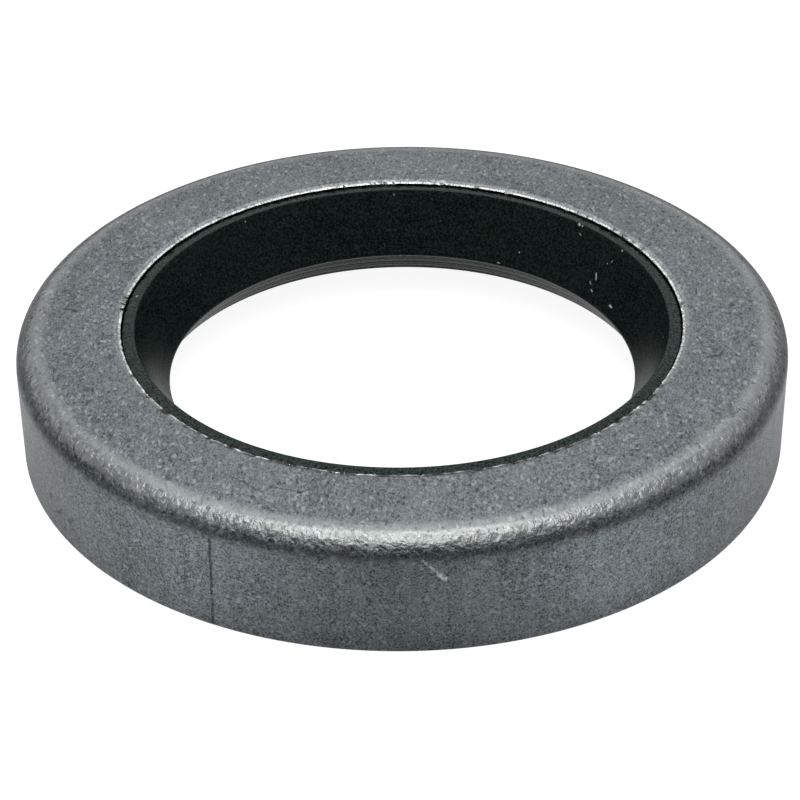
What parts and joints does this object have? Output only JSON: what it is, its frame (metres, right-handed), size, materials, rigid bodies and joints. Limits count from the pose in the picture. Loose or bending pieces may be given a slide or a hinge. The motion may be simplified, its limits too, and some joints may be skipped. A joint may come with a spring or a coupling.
{
  "type": "radial shaft seal",
  "caption": "Metal-cased radial shaft seal: a drawn steel cup with a bonded rubber lip that a garter spring tightens on a turning shaft.",
  "frame": {"origin": "centre of the open rim's plane, where the seal's axis meets the surface that it lies on", "axes": "+Z along the shaft's axis towards the air side (the closed face); X and Y are alike, because the seal is a body of revolution"},
  "size_m": [0.05, 0.05, 0.008],
  "materials": {
    "case_steel": "matt cold-drawn sheet, mottled grey",
    "lip_rubber": "satin moulded nitrile rubber",
    "spring_steel": "drawn spring wire"
  },
  "bodies": {
    "root": {"outer_case": "case_steel", "sealing_lip": "lip_rubber", "garter_spring": "spring_steel"}
  },
  "joints": []
}
